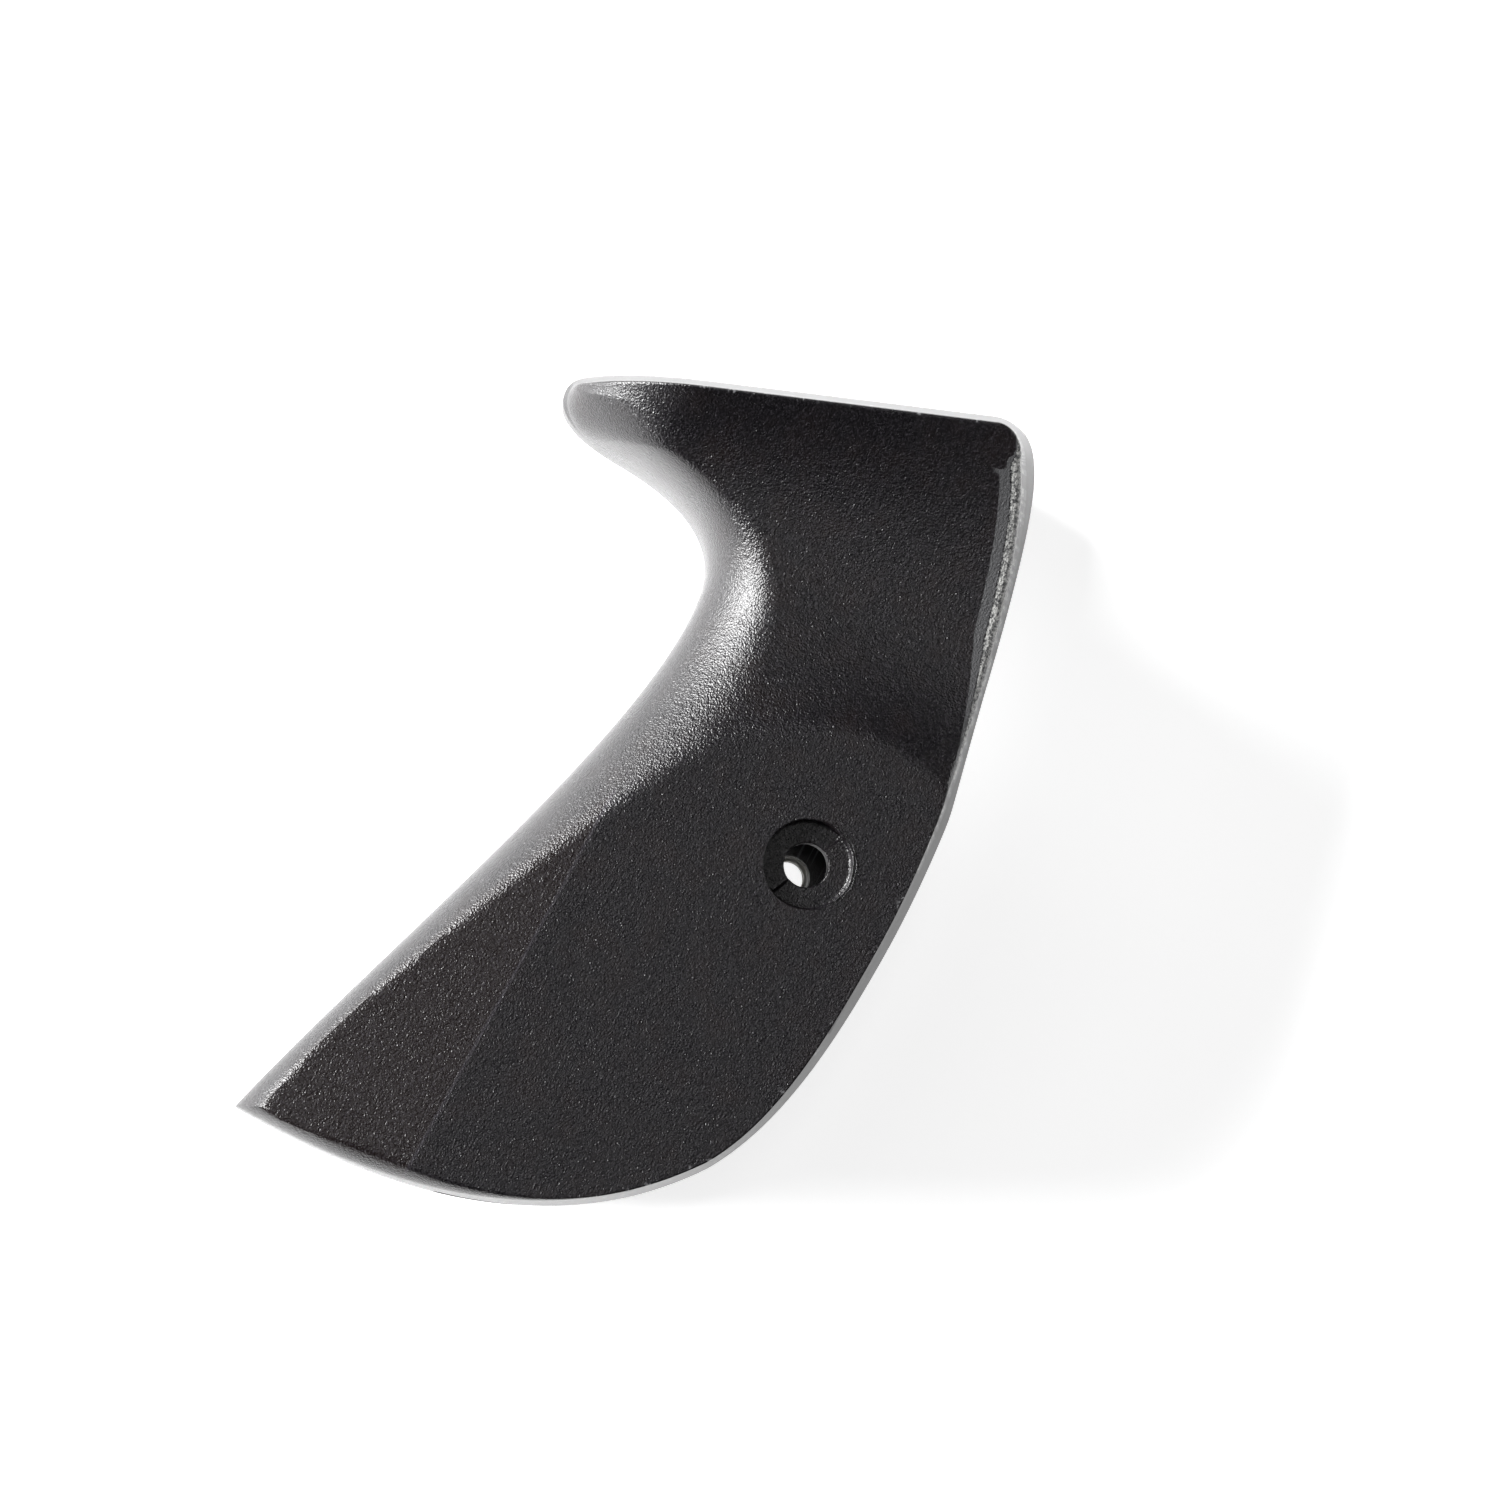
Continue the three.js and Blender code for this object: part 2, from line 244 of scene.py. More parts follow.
def bodyGrid():
    # each station's section runs from the middle line over the cover, round the edge, down the band and side
    # to the mid plane, and mirrored below it
    points, inward, edges, middle = (part[:, None, :] for part in outline())
    band, drop, rounding, share = (edges[:, :, k] for k in range(4))
    turn = np.linspace(0, np.pi / 2, body["roundRows"] + 1)[None, :]
    rounded = points + inward * (band + rounding * (1 - np.sin(turn)))[:, :, None]
    cover = np.linspace(0, 1, body["coverRows"], endpoint=False)[None, :, None]
    plan = np.concatenate([middle + (rounded[:, :1] - middle) * cover, rounded], 1)
    height = bodyTop(plan[..., 0], plan[..., 1])
    height[:, body["coverRows"]:] *= 1 - share + share * np.cos(turn)
    height = softLeast(height, cheekFlat(plan[..., 0], plan[..., 1]), body["creaseBlend"])
    top = height[:, -1:]
    foot = np.maximum(top - drop, top / 3)
    down = np.linspace(0, 1, body["bandRows"] + 1)[None, 1:]
    side = np.linspace(0, 1, body["sideRows"] + 1)[None, 1:]
    lower = points + inward * np.concatenate([band * (1 - down), band * 0 * side], 1)[:, :, None]
    height = np.concatenate([height, top + (foot - top) * down, foot * (1 - side)], 1)
    upper = np.concatenate([np.concatenate([plan, lower], 1), height[..., None]], 2)
    under = (upper * [1, 1, -1])[:, -2::-1]
    return np.concatenate([upper, under], 1)


cuts = {
    "past": 10.0, "boreRadius": 2.25, "recessRadius": 4.5, "recessDepth": 2.2, "step": 0.5, "stepTurn": -23.0,
    "stepSlope": 0.18, "mouth": 0.1, "boreEdge": 0.1, "footRound": 0.3, "above": 3, "nutGap": 0.3,
    "coreWall": 3.4, "rib": 1.8, "shoulder": 2.4, "tailCores": 4, "tailCore": 7.0, "hookCore": 5.0,
    "coreCorner": 0.8,
}


def roundedRectangle(low, high, radius, steps=6):
    # four quarter circles joined by straight sides, anticlockwise
    turn = np.linspace(0, np.pi / 2, steps)
    corners = [(high[0], high[1], 0), (low[0], high[1], 1), (low[0], low[1], 2), (high[0], low[1], 3)]
    points = []
    for x, y, quarter in corners:
        sign = np.array([1 if quarter in (0, 3) else -1, 1 if quarter < 2 else -1])
        angle = turn + quarter * np.pi / 2
        points.append(np.stack([x - sign[0] * radius + radius * np.cos(angle),
                                y - sign[1] * radius + radius * np.sin(angle)], 1))
    return np.concatenate(points)


def prism(name, section, low, high, axes):
    # a closed outline carried straight from low to high along the third of the axes, with a lid at each end
    count = len(section)
    ends = [np.column_stack([section, np.full(count, level)]) for level in (low, high)]
    points = np.zeros((2 * count, 3))
    points[:, list(axes)] = np.concatenate(ends)
    i = np.arange(count)
    sides = np.stack([i, (i + 1) % count, (i + 1) % count + count, i + count], 1).tolist()
    mesh = bpy.data.meshes.new(name)
    mesh.from_pydata((points * mm).tolist(), [], sides + [i[::-1].tolist(), (i + count).tolist()])
    return closeMesh(name, mesh)


def channelTool():
    # a rounded rectangle carried along the shaft, past both ends of the body and out through its back
    half, past = body["channelHalf"], cuts["past"]
    section = roundedRectangle((-body["cheekDepth"] - past, -half), (0, half), body["channelCorner"])
    return prism("channelTool", section, restLow[0] - past, restHigh[0] + past, (1, 2, 0))


def holeTool():
    # turned: the bore, the floor of the recess, its round foot and wall, and a slight flare at the mouth. One
    # side of the floor is a step higher, behind a slanted line through the axis.
    bore, recess, mouth = cuts["boreRadius"], cuts["recessRadius"], cuts["mouth"]
    floor, top = body["cheekHalf"] - cuts["recessDepth"], body["cheekHalf"]
    edge, foot, above = cuts["boreEdge"], cuts["footRound"], top + cuts["above"]
    turn = np.linspace(0, np.pi / 2, 5)
    below = -restHigh[2] - cuts["past"]
    level = [(0, below), (bore, below), (bore, floor - cuts["step"] - foot), (bore, floor - edge)]
    level += [(r, floor) for r in np.linspace(bore + edge, recess - foot, 16)]
    level += [(recess - foot + foot * math.sin(a), floor + foot - foot * math.cos(a)) for a in turn[1:]]
    level += [(recess, top - mouth), (recess + mouth, top + 0.02), (recess + mouth, above), (0, above)]
    grid = turnedGrid(level, 144, screwX, screwY)
    angle = math.radians(cuts["stepTurn"])
    behind = (grid[..., 0] - screwX) * math.sin(angle) - (grid[..., 1] - screwY) * math.cos(angle)
    onFloor = (grid[..., 2] > floor - cuts["step"]) & (grid[..., 2] < floor + foot + 0.01)
    grid[..., 2] += cuts["step"] * smoothStep(np.clip(behind / cuts["stepSlope"] + 0.5, 0, 1)) * onFloor
    return meshFromGrid("holeTool", grid)


def nutTool():
    # a hexagon round the screw's axis, larger than the nut by the gap, from below the body to above the nut
    flats = (nutHigh[0] - nutLow[0]) / 2 + cuts["nutGap"]
    turn = np.arange(6) * np.pi / 3 + np.pi / 6
    section = np.stack([screwX + flats / math.cos(np.pi / 6) * np.cos(turn),
                        screwY + flats / math.cos(np.pi / 6) * np.sin(turn)], 1)
    return prism("nutTool", section, -restHigh[2] - cuts["past"], nutHigh[2] + cuts["nutGap"], (0, 1, 2))


def coreTools():
    # cores open towards the shaft: a row behind the front wall of the tail, and one behind the hook
    front = outline()[0][:(body["sideSteps"] - body["hookSteps"] - body["noseSteps"]) * body["finer"]]
    spans = []
    for i in range(cuts["tailCores"]):
        high = -2 * cuts["boreRadius"] - i * (cuts["tailCore"] + cuts["rib"])
        wall = np.interp([high - cuts["tailCore"], high], front[:, 0], front[:, 1]).min()
        spans.append((high - cuts["tailCore"], high, wall - cuts["coreWall"]))
    low = body["hookUnder"] + cuts["coreWall"]
    high = low + cuts["hookCore"]
    behindFace = body["pommelReach"] - cuts["coreWall"] - high
    spans.append((low, high, body["rimY"] + behindFace / body["endRake"]))
    half = body["channelHalf"] - cuts["shoulder"]
    tools = []
    for k, (low, high, reach) in enumerate(spans):
        section = roundedRectangle((low, -half), (high, half), cuts["coreCorner"])
        tools.append(prism(f"coreTool{k}", section, -cuts["past"], reach, (0, 2, 1)))
    return tools


def makeBody():
    piece = meshFromGrid("handRestBody", bodyGrid())
    print("body surface:", len(piece.data.vertices), "points")
    cut(piece, [channelTool(), holeTool(), nutTool(), *coreTools()])
    print("body cut:", len(piece.data.vertices), "points")
    markSurfaces(piece)
    return finishPiece(piece, 32, "black_nylon", "hand_rest_moulding")


marks = {
    "fullBand": 0.7, "polishFade": 0.15, "rimWidth": 0.35, "slack": 0.02,
    "trimWidth": 2.4, "trimFrom": 1.5, "trimOver": 0.9, "leastTrim": 0.05,  # strip trimmed by hand
}


def markSurfaces(piece):
    # values for the material at each point: how polished the mould was there, how close the edge of the cover
    # is, how far across the trimmed strip it lies, from 0 on the cover to 1 at the band, and whether it is
    # inside the channel
    count = len(piece.data.vertices)
    place = np.zeros(count * 3)
    piece.data.vertices.foreach_get("co", place)
    place = place.reshape(-1, 3) / mm
    points, _, edges, _ = outline()
    nearest, distance = np.zeros(count, int), np.zeros(count)
    for part in np.array_split(np.arange(count), 40):
        apart = np.linalg.norm(place[part, None, :2] - points[None], axis=2)
        nearest[part], distance[part] = apart.argmin(1), apart.min(1)
    band = edges[nearest, 0]
    flat = np.clip(band / marks["fullBand"], 0, 1)
    polished = flat * np.clip((band + marks["polishFade"] - distance) / marks["polishFade"], 0, 1)
    rim = flat * np.exp(-((distance - band) / marks["rimWidth"]) ** 2)
    wide = np.clip((band - marks["trimFrom"]) / marks["trimOver"], 0, 1)
    reach = np.maximum(marks["trimWidth"] * wide ** 2, marks["leastTrim"])
    trim = np.clip(1 - (distance - band) / reach, -3, 1) * (wide > 0.02) * (distance > band)
    inside = (np.abs(place[:, 2]) < body["channelHalf"] + marks["slack"]) & (place[:, 1] < marks["slack"])
    found = {"polished": polished, "rim": rim, "inside": inside, "trim": trim}
    for name, values in found.items():
        attribute = piece.data.attributes.new(name, "FLOAT", "POINT")
        attribute.data.foreach_set("value", values.astype(np.float32))


nut = {
    "pitch": 0.7, "threadDepth": 0.36, "threadRadius": 1.7, "leastBore": 1.75, "mouth": 0.3,
    "chamfer": 0.35, "faceShare": 0.8, "trimShare": 0.96,  # of the distance from the axis to a flat
    "around": 144, "threadRows": 30, "heightShares": (0, 0, 0.12, 0.25, 0.5, 0.75, 0.88, 1, 1),
}


def makeNut():
    # round the nut by the angle, and round its wall: across the lower face, up the six flats, which a cone
    # trims at both ends, across the upper face and down the thread, whose radius is a triangle wave of height
    # less angle
    flats, low, high = (nutHigh[0] - nutLow[0]) / 2, nutLow[2], nutHigh[2]
    corner = flats / math.cos(np.pi / 6)
    turn = np.linspace(0, 2 * np.pi, nut["around"], endpoint=False)[:, None]
    off = np.mod(turn, np.pi / 3) - np.pi / 6
    hexagon = flats / np.cos(off)
    tall = high - low
    z = np.array(nut["heightShares"])[None, :] * tall
    least = flats * nut["trimShare"]
    trim = least + np.minimum(z, tall - z) / nut["chamfer"] * (corner - least)
    outer = np.minimum(hexagon, trim)
    outer[:, 0] = outer[:, -1] = flats * nut["faceShare"]
    outerHeight = low + z + 0 * turn
    down = np.linspace(1, 0, nut["threadRows"])[None, :] * tall
    phase = np.mod(down / nut["pitch"] - turn / (2 * np.pi), 1)
    bore = nut["threadRadius"] + nut["threadDepth"] * (1 - np.abs(2 * phase - 1))
    flare = np.clip(1 - np.minimum(down, tall - down) / nut["mouth"], 0, 1) * nut["mouth"]
    inner = np.maximum(bore, nut["leastBore"] + flare)
    inner[:, 0] = inner[:, -1] = nut["leastBore"] + nut["mouth"]
    radius = np.concatenate([outer, inner], 1)
    height = np.concatenate([outerHeight, low + down + 0 * turn], 1)
    grid = np.stack([screwX + radius * np.cos(turn), screwY + radius * np.sin(turn), height], -1)
    piece = meshFromGrid("nutSteel", grid, closedAcross=True)
    print("nut:", len(piece.data.vertices), "points")
    return finishPiece(piece, 25, "zinc_steel", "captive_nut")


lips = [  # thin burrs that stand up round the recess, each between two angles in degrees
    {"name": "recessLip", "radius": 4.58, "width": 0.13, "height": 0.13,
     "from": -150.0, "to": 60.0, "around": 300},
    {"name": "recessBurr", "radius": 4.86, "width": 0.12, "height": 0.15,
     "from": -125.0, "to": 5.0, "around": 240},
]


def makeLip(lip):
    # a half round bead carried along an arc, its height a slow ripple that dies away at both ends
    t = np.linspace(0, 1, lip["around"])[:, None]
    turn = np.radians(lip["from"] + (lip["to"] - lip["from"]) * t)
    fade = np.sin(np.pi * t) ** 0.5
    ripple = 0.6 + 0.25 * np.sin(43 * t) + 0.2 * np.sin(107 * t + 1)
    section = np.linspace(0, 2 * np.pi, 13)[None, :-1]
    half = lip["width"] / 2 * fade * (0.6 + 0.4 * ripple)
    radius = lip["radius"] + half * np.cos(section) + 0.04 * np.sin(29 * t)
    height = body["cheekHalf"] + lip["height"] * fade * ripple * np.sin(section)
    grid = np.stack([screwX + radius * np.cos(turn), screwY + radius * np.sin(turn), height], -1)
    piece = meshFromGrid(lip["name"], grid, closedAround=False, closedAcross=True)
    return finishPiece(piece, 60, "black_nylon")


def newGroup(name, inputs, outputs):
    group = bpy.data.node_groups.new(name, "ShaderNodeTree")
    for socket, kind, value in inputs:
        made = group.interface.new_socket(name=socket, in_out="INPUT", socket_type=kind)
        if value is not None:
            made.default_value = value
    for socket, kind in outputs:
        group.interface.new_socket(name=socket, in_out="OUTPUT", socket_type=kind)
    return group, group.nodes.new("NodeGroupInput"), group.nodes.new("NodeGroupOutput")


def feed(tree, socket, value):  # links a socket to another one, or sets its constant
    if isinstance(value, bpy.types.NodeSocket):
        tree.links.new(value, socket)
    else:
        socket.default_value = value


def addNode(tree, kind, settings=None, **values):
    # a value named i0, i1, ... goes to the input with that number, and any other to the input of that name
    node = tree.nodes.new(kind)
    for key, value in (settings or {}).items():
        setattr(node, key, value)
    for key, value in values.items():
        numbered = key[0] == "i" and key[1:].isdigit()
        feed(tree, node.inputs[int(key[1:])] if numbered else node.inputs[key], value)
    return node


def math2(tree, operation, a, b, clamp=False):
    settings = {"operation": operation, "use_clamp": clamp}
    return addNode(tree, "ShaderNodeMath", settings, i0=a, i1=b).outputs[0]


def ramp(tree, value, low, high):
    node = addNode(tree, "ShaderNodeMapRange", {"clamp": True}, Value=value)
    node.inputs["From Min"].default_value = low
    node.inputs["From Max"].default_value = high
    return node.outputs["Result"]


def grainGroup():
    # moulded grain: two sizes of rounded pits and a slow change over the part
    inputs = [("Place", "NodeSocketVector", None), ("Size", "NodeSocketFloat", 3400.0)]
    outputs = [("Height", "NodeSocketFloat"), ("Mottle", "NodeSocketFloat")]
    group, given, out = newGroup("mouldedGrain", inputs, outputs)
    place, size = given.outputs["Place"], given.outputs["Size"]
    coarse = math2(group, "MULTIPLY", size, 0.45)
    slow = math2(group, "MULTIPLY", size, 0.05)
    fine = addNode(group, "ShaderNodeTexNoise", Vector=place, Scale=size, Detail=1.0, Roughness=0.5)
    broad = addNode(group, "ShaderNodeTexNoise", Vector=place, Scale=coarse, Detail=1.0, Roughness=0.5)
    drift = addNode(group, "ShaderNodeTexNoise", Vector=place, Scale=slow, Detail=4.0, Roughness=0.6)
    height = math2(group, "ADD", fine.outputs[0], math2(group, "MULTIPLY", broad.outputs[0], 0.5))
    group.links.new(height, out.inputs["Height"])
    group.links.new(drift.outputs[0], out.inputs["Mottle"])
    return group


def speckGroup():
    # points where a noise passes a limit: dust, painted glints of the grain, scuffs (partly painted
    # reflection), or chips along an edge
    inputs = [("Place", "NodeSocketVector", None), ("Size", "NodeSocketFloat", 900.0),
              ("Limit", "NodeSocketFloat", 0.72), ("Soft", "NodeSocketFloat", 0.03)]
    group, given, out = newGroup("specks", inputs, [("Mask", "NodeSocketFloat")])
    place, size = given.outputs["Place"], given.outputs["Size"]
    noise = addNode(group, "ShaderNodeTexNoise", Vector=place, Scale=size, Detail=2.0, Roughness=0.7)
    over = math2(group, "SUBTRACT", noise.outputs[0], given.outputs["Limit"])
    mask = math2(group, "DIVIDE", over, given.outputs["Soft"], clamp=True)
    group.links.new(mask, out.inputs["Mask"])
    return group


def useGroup(tree, group, **values):
    node = tree.nodes.new("ShaderNodeGroup")
    node.node_tree = group
    for key, value in values.items():
        feed(tree, node.inputs[key], value)
    return node


def mixColour(tree, share, a, b):
    node = tree.nodes.new("ShaderNodeMix")
    node.data_type = "RGBA"
    for socket, value in ((node.inputs["Factor"], share), (node.inputs[6], a), (node.inputs[7], b)):
        feed(tree, socket, value)
    return node.outputs[2]


def mixValue(tree, share, a, b):
    node = tree.nodes.new("ShaderNodeMix")
    for socket, value in ((node.inputs[0], share), (node.inputs[2], a), (node.inputs[3], b)):
        feed(tree, socket, value)
    return node.outputs[0]


def newMaterial(name):
    material = bpy.data.materials.new(name)
    material.use_nodes = True
    tree = material.node_tree
    tree.nodes.clear()
    shader = tree.nodes.new("ShaderNodeBsdfPrincipled")
    output = tree.nodes.new("ShaderNodeOutputMaterial")
    tree.links.new(shader.outputs[0], output.inputs["Surface"])
    place = tree.nodes.new("ShaderNodeTexCoord").outputs["Object"]
    return material, tree, shader, place


grain = grainGroup()
specks = speckGroup()


nylon = {
    "colour": (0.0030, 0.0026, 0.0033, 1), "brown": (0.0056, 0.0026, 0.0022, 1),
    "inner": (0.0050, 0.0048, 0.0052, 1), "streak": (0.050, 0.050, 0.054, 1),
    "paintedGlint": (0.030, 0.027, 0.032, 1), "trim": (0.050, 0.050, 0.052, 1), "wearAndSheen": (0.30, 0.30, 0.29, 1),
    "chip": (0.30, 0.30, 0.31, 1), "dust": (0.42, 0.42, 0.44, 1),
    "glintSpecks": {"Size": 4200.0, "Limit": 0.50, "Soft": 0.26},
    "streaks": {"Size": 2600.0, "Limit": 0.56, "Soft": 0.05},
    "scuffs": {"Size": 3000.0, "Limit": 0.40, "Soft": 0.20},
    "dustSpots": {"Size": 1500.0, "Limit": 0.80, "Soft": 0.03},
    "chips": {"Size": 1100.0, "Limit": 0.62, "Soft": 0.06},
    "grain": 5200.0, "alongShaft": (0.03, 1.0, 0.12),
    "cheekRange": (13.8, 14.2), "archRange": (-1.0, -3.0), "ridgeHighlightRange": (0.22, 0.04), "ridgeSoft": 0.15,
    "parting": 0.50, "partingRange": (0.05, 0.02), "dotRange": (0.8, 0.3), "mottleRange": (0.45, 0.80),
    "mottleShare": 0.6, "facetShare": 0.6, "ridgeHighlightShare": 0.6, "glintShare": 0.75, "dustShare": 0.5,
    "chipShare": 0.5, "insideShare": 0.7,
    "roughness": 0.25, "polished": 0.28, "unevenness": 0.06, "bump": 0.00010, "index": 1.48,
}


def storedValue(tree, name):
    return addNode(tree, "ShaderNodeAttribute", {"attribute_name": name}).outputs["Fac"]


def product(tree, a, b):
    return math2(tree, "MULTIPLY", a, b)


def distanceFrom(tree, value, middle):
    return math2(tree, "ABSOLUTE", math2(tree, "SUBTRACT", value, middle), 0.0)


def cheekMasks(tree, place):
    # the front facet of the cheek's flat, and a thin line along the ridge that bounds it, which carries a
    # painted highlight
    apart = addNode(tree, "ShaderNodeSeparateXYZ", Vector=place)
    ridge = body["ridge"] * mm
    low, high = (edge * mm for edge in nylon["cheekRange"])
    onCheek = ramp(tree, math2(tree, "ABSOLUTE", apart.outputs["Z"], 0.0), low, high)
    low, high = (edge * mm for edge in nylon["archRange"])
    behindArch = product(tree, ramp(tree, apart.outputs["X"], low, high), onCheek)
    facet = product(tree, ramp(tree, apart.outputs["Y"], ridge, ridge + nylon["ridgeSoft"] * mm), behindArch)
    wide, narrow = (width * mm for width in nylon["ridgeHighlightRange"])
    offRidge = distanceFrom(tree, apart.outputs["Y"], ridge)
    return facet, product(tree, ramp(tree, offRidge, wide, narrow), behindArch)


def channelColour(tree, place):
    # draw marks that run along the shaft
    streak = addNode(tree, "ShaderNodeMapping", Vector=place, Scale=nylon["alongShaft"]).outputs["Vector"]
    streaks = useGroup(tree, specks, Place=streak, **nylon["streaks"])
    return mixColour(tree, streaks.outputs[0], nylon["inner"], nylon["streak"])


def trimmedColour(tree, place, colour):
    # a grey facet next to the cover, whose lighter grey is a painted reflection, the dotted parting line,
    # then a scuffed strip out to the band, whose light scuffs are partly wear and partly painted reflection
    trim = storedValue(tree, "trim")
    colour = mixColour(tree, ramp(tree, trim, 0.0, 0.04), colour, nylon["trim"])
    scuffs = useGroup(tree, specks, Place=place, **nylon["scuffs"]).outputs["Mask"]
    scuffed = ramp(tree, trim, nylon["parting"], nylon["parting"] + 0.06)
    # light scuffs beyond the parting line: partly wear, partly painted reflection
    colour = mixColour(tree, product(tree, scuffed, scuffs), colour, nylon["wearAndSheen"])
    offParting = distanceFrom(tree, trim, nylon["parting"])
    dots = ramp(tree, scuffs, *nylon["dotRange"])
    parting = product(tree, ramp(tree, offParting, *nylon["partingRange"]), dots)
    return mixColour(tree, parting, colour, nylon["colour"])


def nylonMaterial():
    material, tree, shader, place = newMaterial("blackNylon")
    surface = useGroup(tree, grain, Place=place, Size=nylon["grain"])
    polished, rim, inside = (storedValue(tree, name) for name in ("polished", "rim", "inside"))
    facet, ridge = cheekMasks(tree, place)
    mottle = product(tree, ramp(tree, surface.outputs["Mottle"], *nylon["mottleRange"]), nylon["mottleShare"])
    tint = math2(tree, "MAXIMUM", mottle, product(tree, facet, nylon["facetShare"]))
    colour = mixColour(tree, tint, nylon["colour"], nylon["brown"])
    # painted glints: light specks in the base colour that stand in for the grain catching the light
    glintSpecks = useGroup(tree, specks, Place=place, **nylon["glintSpecks"])
    colour = mixColour(tree, product(tree, glintSpecks.outputs[0], nylon["glintShare"]), colour, nylon["paintedGlint"])
    # painted highlight: a light line along the ridge at the facet's edge, in the painted glint grey
    colour = mixColour(tree, product(tree, ridge, nylon["ridgeHighlightShare"]), colour, nylon["paintedGlint"])
    colour = mixColour(tree, inside, colour, channelColour(tree, place))
    colour = trimmedColour(tree, place, colour)
    dust = useGroup(tree, specks, Place=place, **nylon["dustSpots"])
    colour = mixColour(tree, product(tree, dust.outputs[0], nylon["dustShare"]), colour, nylon["dust"])
    chips = product(tree, useGroup(tree, specks, Place=place, **nylon["chips"]).outputs[0], rim)
    colour = mixColour(tree, product(tree, chips, nylon["chipShare"]), colour, nylon["chip"])
    tree.links.new(colour, shader.inputs["Base Color"])
    rough = mixValue(tree, polished, nylon["roughness"], nylon["polished"])
    rough = math2(tree, "ADD", rough, product(tree, surface.outputs["Mottle"], nylon["unevenness"]))
    tree.links.new(rough, shader.inputs["Roughness"])
    shader.inputs["IOR"].default_value = nylon["index"]
    quiet = math2(tree, "MAXIMUM", polished, product(tree, inside, nylon["insideShare"]))
    height = product(tree, surface.outputs["Height"], math2(tree, "SUBTRACT", 1.0, quiet))
    bump = tree.nodes.new("ShaderNodeBump")
    bump.inputs["Strength"].default_value = 1.0
    bump.inputs["Distance"].default_value = nylon["bump"]
    tree.links.new(height, bump.inputs["Height"])
    tree.links.new(bump.outputs[0], shader.inputs["Normal"])
    return material


zinc = {
    "blue": (0.42, 0.43, 0.46, 1), "yellow": (0.56, 0.55, 0.52, 1),
    "grain": 2600.0, "mottleRange": (0.35, 0.7), "roughness": 0.25, "unevenness": 0.25, "bump": 0.00001,
}


def zincMaterial():
    material, tree, shader, place = newMaterial("zincSteel")
    surface = useGroup(tree, grain, Place=place, Size=zinc["grain"])
    tint = ramp(tree, surface.outputs["Mottle"], *zinc["mottleRange"])
    colour = mixColour(tree, tint, zinc["blue"], zinc["yellow"])
    tree.links.new(colour, shader.inputs["Base Color"])
    shader.inputs["Metallic"].default_value = 1.0
    uneven = product(tree, surface.outputs["Mottle"], zinc["unevenness"])
    rough = math2(tree, "ADD", zinc["roughness"], uneven)
    tree.links.new(rough, shader.inputs["Roughness"])
    bump = tree.nodes.new("ShaderNodeBump")
    bump.inputs["Distance"].default_value = zinc["bump"]
    tree.links.new(surface.outputs["Height"], bump.inputs["Height"])
    tree.links.new(bump.outputs[0], shader.inputs["Normal"])
    return material


studio = {  # lengths in metres; a light's place is right, up and out of the picture from the target
    "floorSide": 3.0, "floorGrain": 900.0, "floorRoughness": 0.9, "floorSpecular": 0.2, "floorGlow": 0.67,
    "floorDark": (0.86, 0.86, 0.865, 1), "floorLight": (0.90, 0.90, 0.90, 1),
    "world": 0.03,
    "lens": 144, "sensor": 36, "distance": 0.6, "clipStart": 0.01, "clipEnd": 20,
    "left": {"from": (-0.95, 0.30, 0.29), "size": 0.78, "power": 72.0},
    "over": {"from": (-0.45, 0.20, 0.90), "size": 0.40, "power": 0.6},
    "top": {"from": (0.04, 0.06, 1.0), "size": 0.28, "power": 1.1},
    "right": {"from": (0.95, 0.00, 0.16), "size": 0.60, "power": 4.5},
}


def floorMaterial():
    material, tree, shader, place = newMaterial("paleFloor")
    surface = useGroup(tree, grain, Place=place, Size=studio["floorGrain"])
    colour = mixColour(tree, surface.outputs["Mottle"], studio["floorDark"], studio["floorLight"])
    tree.links.new(colour, shader.inputs["Base Color"])
    shader.inputs["Roughness"].default_value = studio["floorRoughness"]
    shader.inputs["Specular IOR Level"].default_value = studio["floorSpecular"]
    shader.inputs["Emission Color"].default_value = (1, 1, 1, 1)
    shader.inputs["Emission Strength"].default_value = studio["floorGlow"]
    return material


handRestBody = makeBody()
nutSteel = makeNut()
burrs = [makeLip(lip) for lip in lips]
black = nylonMaterial()
handRestBody.data.materials.clear()
handRestBody.data.materials.append(black)
for burr in burrs:
    burr.data.materials.append(black)
nutSteel.data.materials.append(zincMaterial())
print("pieces made")


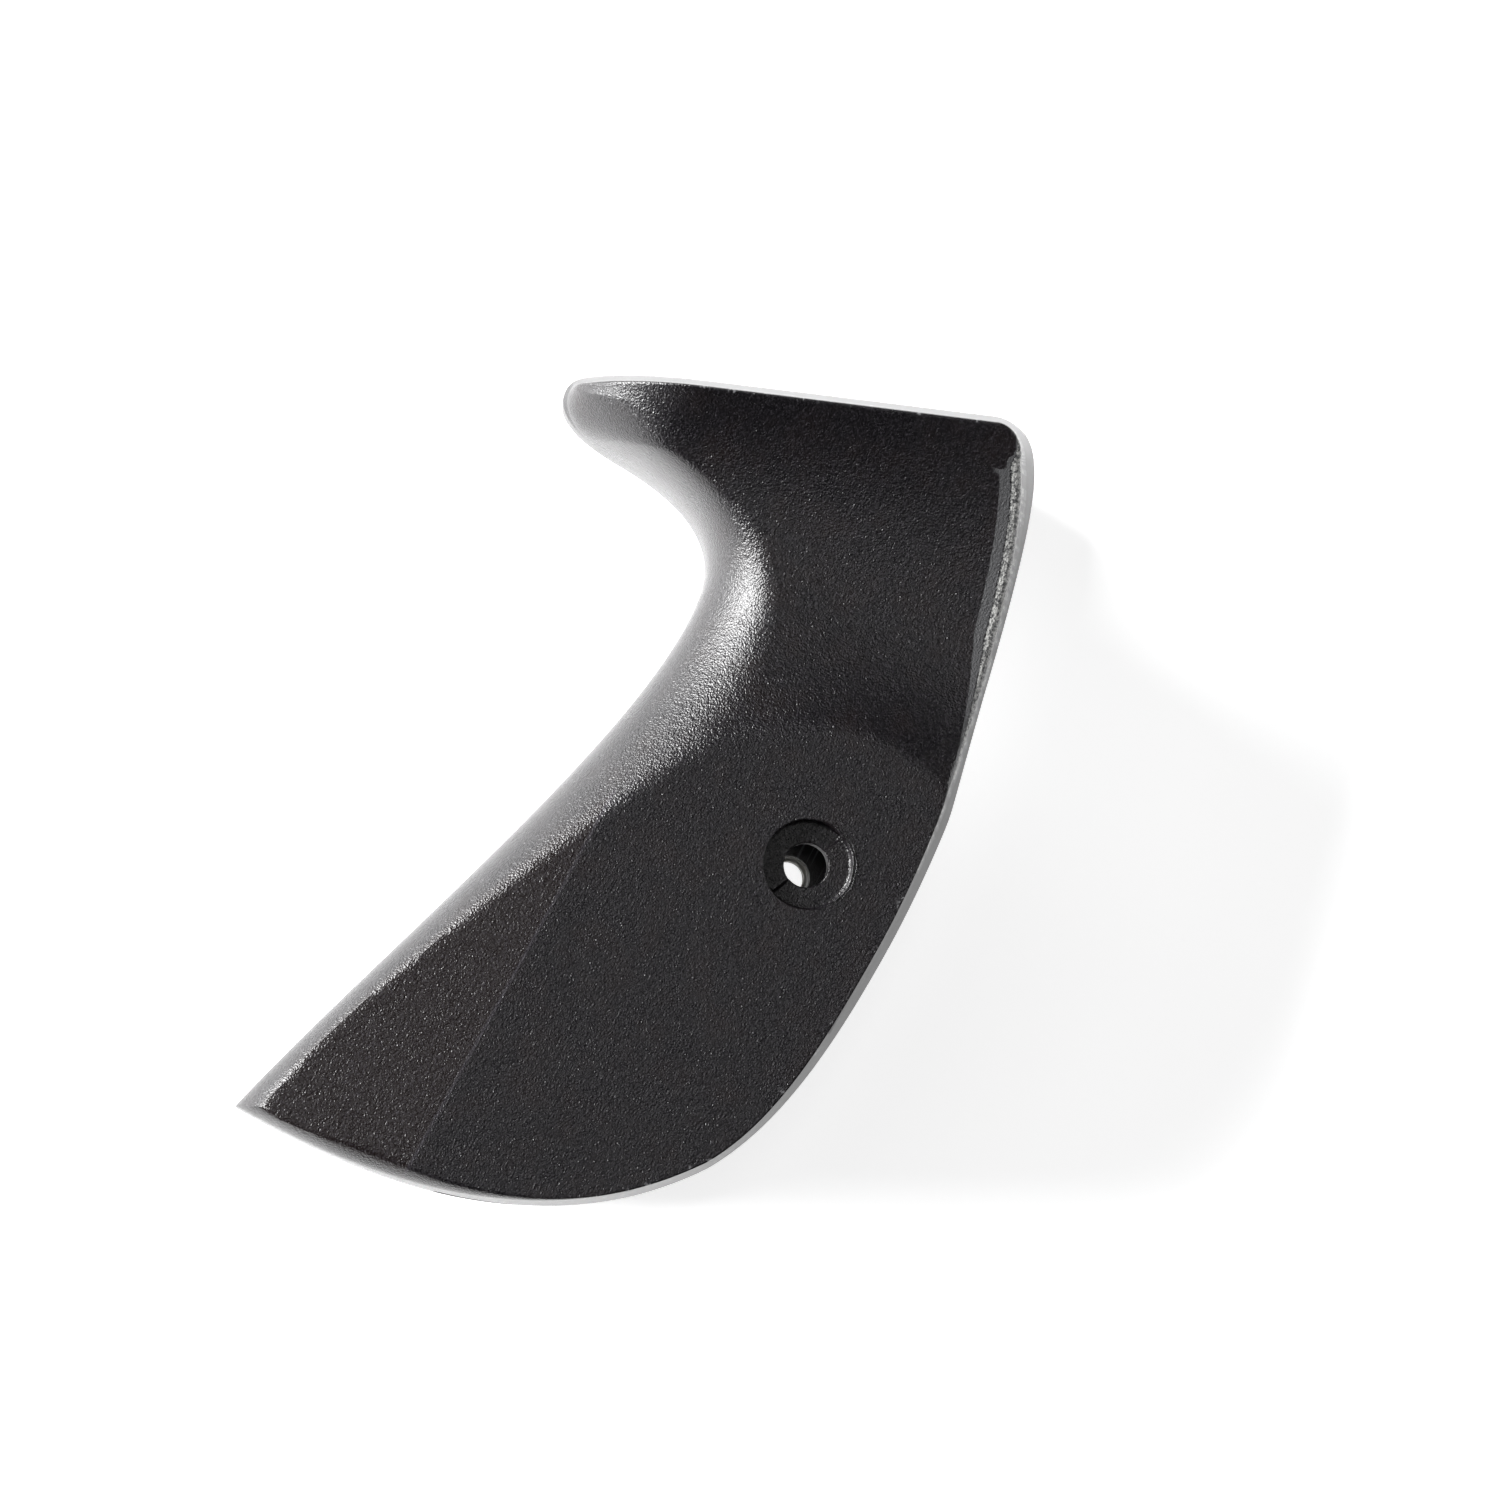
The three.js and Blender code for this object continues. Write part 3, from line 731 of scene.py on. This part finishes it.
imageRight = Vector((0.477, -0.879, 0)).normalized()
imageUp = Vector((0.879, 0.477, 0)).normalized()
target = Vector((7.25, -6.46, 15.0)) * mm
outward = Vector((-0.0994, 0.0280, 1.0)).normalized()


def makeFloor():
    half = studio["floorSide"] / 2
    z = cadLow.z
    mesh = bpy.data.meshes.new("floor")
    corners = [(-half, -half, z), (half, -half, z), (half, half, z), (-half, half, z)]
    mesh.from_pydata(corners, [], [(0, 1, 2, 3)])
    floor = bpy.data.objects.new("floor", mesh)
    floor.data.materials.append(floorMaterial())
    bpy.context.scene.collection.objects.link(floor)


def makeCamera():
    # looks back along outward at the target, with imageUp upwards in the picture
    camera = bpy.data.objects.new("camera", bpy.data.cameras.new("camera"))
    camera.data.lens, camera.data.sensor_width = studio["lens"], studio["sensor"]
    camera.data.clip_start, camera.data.clip_end = studio["clipStart"], studio["clipEnd"]
    camera.location = target + outward * studio["distance"]
    right = imageUp.cross(outward).normalized()
    up = outward.cross(right)
    camera.rotation_mode = "QUATERNION"
    camera.rotation_quaternion = Matrix((right, up, outward)).transposed().to_quaternion()
    bpy.context.scene.collection.objects.link(camera)
    bpy.context.scene.camera = camera


def makeLight(name, values):
    # a square soft light that faces the target
    right, up, out = values["from"]
    light = bpy.data.objects.new(name, bpy.data.lights.new(name, "AREA"))
    light.data.shape = "SQUARE"
    light.data.size = values["size"]
    light.data.energy = values["power"]
    light.location = target + imageRight * right + imageUp * up + Vector((0, 0, out))
    light.rotation_mode = "QUATERNION"
    light.rotation_quaternion = (target - light.location).to_track_quat("-Z", "Y")
    light.visible_camera = False
    bpy.context.scene.collection.objects.link(light)


def makeWorld():
    world = bpy.data.worlds.new("studio")
    world.use_nodes = True
    world.node_tree.nodes["Background"].inputs["Color"].default_value = (1, 1, 1, 1)
    world.node_tree.nodes["Background"].inputs["Strength"].default_value = studio["world"]
    bpy.context.scene.world = world


makeFloor()
makeCamera()
for name in ("left", "over", "top", "right"):
    makeLight(name, studio[name])
makeWorld()
bpy.context.scene.view_settings.view_transform = "Standard"
print("studio made")
